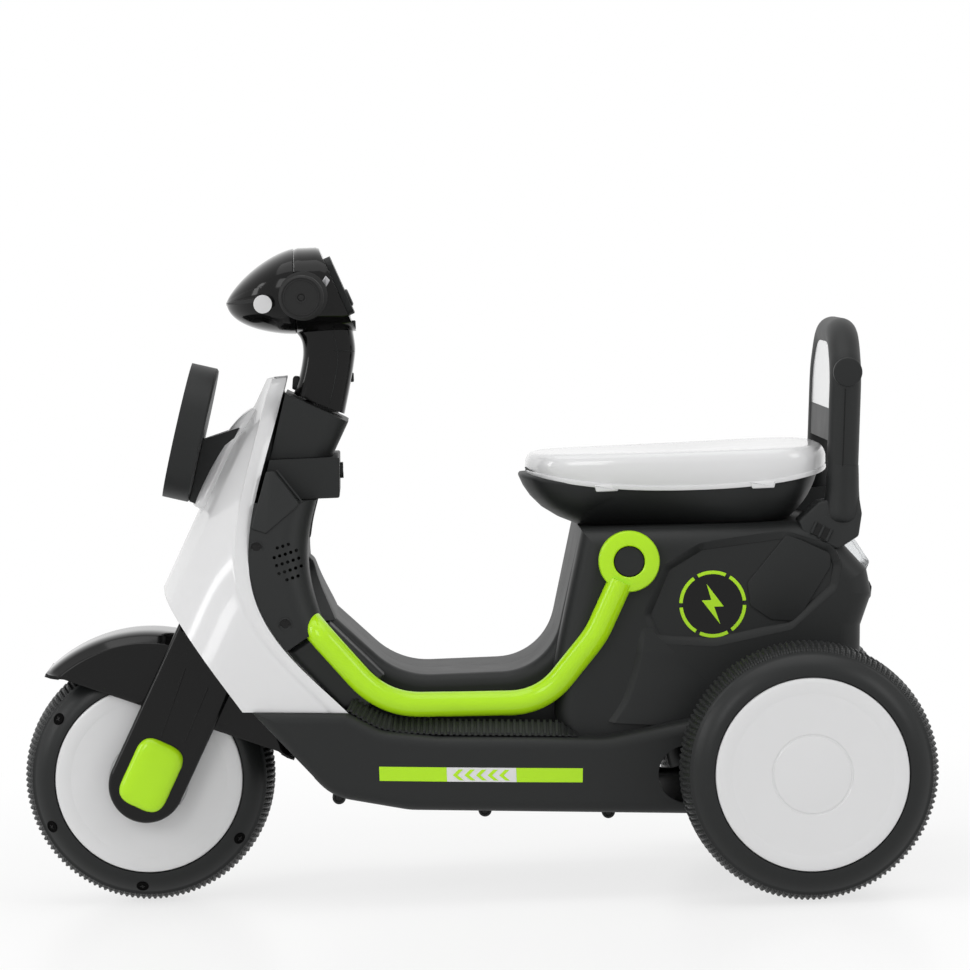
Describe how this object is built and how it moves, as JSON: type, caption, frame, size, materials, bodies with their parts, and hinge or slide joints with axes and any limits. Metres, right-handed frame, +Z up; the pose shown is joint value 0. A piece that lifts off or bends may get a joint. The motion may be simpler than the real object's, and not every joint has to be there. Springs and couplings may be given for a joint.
{
  "type": "kids electric three-wheel scooter",
  "caption": "Child's battery ride-on scooter with a raked steered front wheel, twin rear wheels, step-through body, moulded seat and hoop backrest.",
  "frame": {"origin": "on the floor under the middle of the wheelbase, centre of the box's bottom", "axes": "+X forward, +Y to the rider's left, +Z up"},
  "size_m": [0.666, 0.364, 0.4819],
  "materials": {
    "tyre_plastic": "blow-moulded hard plastic, satin",
    "white_gloss": "glossy white polypropylene",
    "steel": "zinc plated steel",
    "black_gloss": "polished black plastic",
    "lime_gloss": "glossy lime green plastic",
    "black_satin": "fine-grained dark grey-black polypropylene",
    "black_rubber": "soft grip rubber",
    "acetal": "black gear and bearing plastic",
    "clear_lens": "clear moulded lens",
    "bright_dish": "metallised plastic dish",
    "battery_case": "sealed battery case"
  },
  "bodies": {
    "chassis": {"apron": "white_gloss", "backrest_hoop": "black_satin", "backrest_pad": "white_gloss", "backrest_panel": "black_satin", "backrest_sockets": "black_satin", "battery": "battery_case", "body_left": "black_satin", "body_right": "black_satin", "charge_socket": "black_satin", "console_box": "black_satin", "foot_grips": "black_rubber", "frame_tube_left": "lime_gloss", "frame_tube_right": "lime_gloss", "gearbox_case": "acetal", "head_cover": "black_satin", "headlamp_bracket": "black_satin", "headlamp_lens": "clear_lens", "headlamp_reflector": "bright_dish", "headlamp_shell": "black_satin", "leg_shield": "black_satin", "motor": "steel", "rear_axle": "steel", "rear_axle_nuts": "steel", "seam_screws": "steel", "seat": "white_gloss", "seat_base": "black_satin", "side_cover_left": "black_satin", "side_cover_right": "black_satin", "speaker": "black_satin", "steering_bushes": "acetal", "tail_lamp": "clear_lens"},
    "steering": {"fork_left": "black_gloss", "fork_right": "black_gloss", "fork_cap_left": "lime_gloss", "fork_cap_right": "lime_gloss", "front_axle": "steel", "front_axle_nuts": "steel", "front_fender": "black_gloss", "steering_column": "steel", "nacelle": "black_gloss", "handlebar_stem": "black_gloss", "handlebar_tube": "steel", "grip_left": "black_rubber", "dash_panel": "black_satin", "marker_lamps": "white_gloss"},
    "front_wheel": {"front_tyre": "tyre_plastic", "front_discs": "white_gloss"},
    "rear_wheel_left": {"rear_tyre_left": "tyre_plastic", "rear_disc_left": "white_gloss", "drive_gear": "acetal"},
    "rear_wheel_right": {"rear_tyre_right": "tyre_plastic", "rear_disc_right": "white_gloss"},
    "idler": {"idler_gear": "acetal"},
    "motor_rotor": {"motor_pinion": "acetal"},
    "throttle": {"grip_right": "black_rubber"},
    "horn": {"horn_button": "black_satin"},
    "music": {"music_button": "black_satin"},
    "power": {"power_button": "black_satin"},
    "direction": {"direction_switch": "black_satin"}
  },
  "joints": [
    {"name": "steering_turn", "type": "hinge", "parent": "chassis", "child": "steering", "pos_m": [0.24, 0, 0.093], "axis": [-0.454, 0, 0.891], "range_deg": [-30, 30]},
    {"name": "front_wheel_turn", "type": "hinge", "parent": "steering", "child": "front_wheel", "pos_m": [0.24, 0, 0.093], "axis": [0, 1, 0], "continuous": true},
    {"name": "rear_wheel_left_turn", "type": "hinge", "parent": "chassis", "child": "rear_wheel_left", "pos_m": [-0.24, 0, 0.093], "axis": [0, 1, 0], "continuous": true},
    {"name": "rear_wheel_right_turn", "type": "hinge", "parent": "chassis", "child": "rear_wheel_right", "pos_m": [-0.24, 0, 0.093], "axis": [0, 1, 0], "continuous": true},
    {"name": "idler_turn", "type": "hinge", "parent": "chassis", "child": "idler", "pos_m": [-0.20837, 0, 0.10089], "axis": [0, 1, 0], "continuous": true},
    {"name": "motor_turn", "type": "hinge", "parent": "chassis", "child": "motor_rotor", "pos_m": [-0.18361, 0, 0.08986], "axis": [0, 1, 0], "continuous": true},
    {"name": "throttle_twist", "type": "hinge", "parent": "steering", "child": "throttle", "pos_m": [0.11075, 0, 0.44689], "axis": [0, -1, 0], "range_deg": [0, 35], "stiffness_Nm_per_rad": 0.4, "springref_deg": -5.73},
    {"name": "horn_press", "type": "slide", "parent": "steering", "child": "horn", "axis": [0.9272, 0, -0.3746], "range_m": [0, 0.0015], "stiffness_N_per_m": 300, "springref_m": -0.001},
    {"name": "music_press", "type": "slide", "parent": "steering", "child": "music", "axis": [0.9272, 0, -0.3746], "range_m": [0, 0.0015], "stiffness_N_per_m": 300, "springref_m": -0.001},
    {"name": "power_press", "type": "slide", "parent": "chassis", "child": "power", "axis": [1, 0, 0], "range_m": [0, 0.0015], "stiffness_N_per_m": 300, "springref_m": -0.001},
    {"name": "direction_rock", "type": "hinge", "parent": "chassis", "child": "direction", "pos_m": [0.0895, -0.004, 0.31488], "axis": [0, 1, 0], "range_deg": [-8, 8]}
  ],
  "couplings": [
    {"joint": "idler_turn", "follows": "rear_wheel_left_turn", "ratio": -3.3333},
    {"joint": "motor_turn", "follows": "rear_wheel_left_turn", "ratio": 11.667}
  ]
}
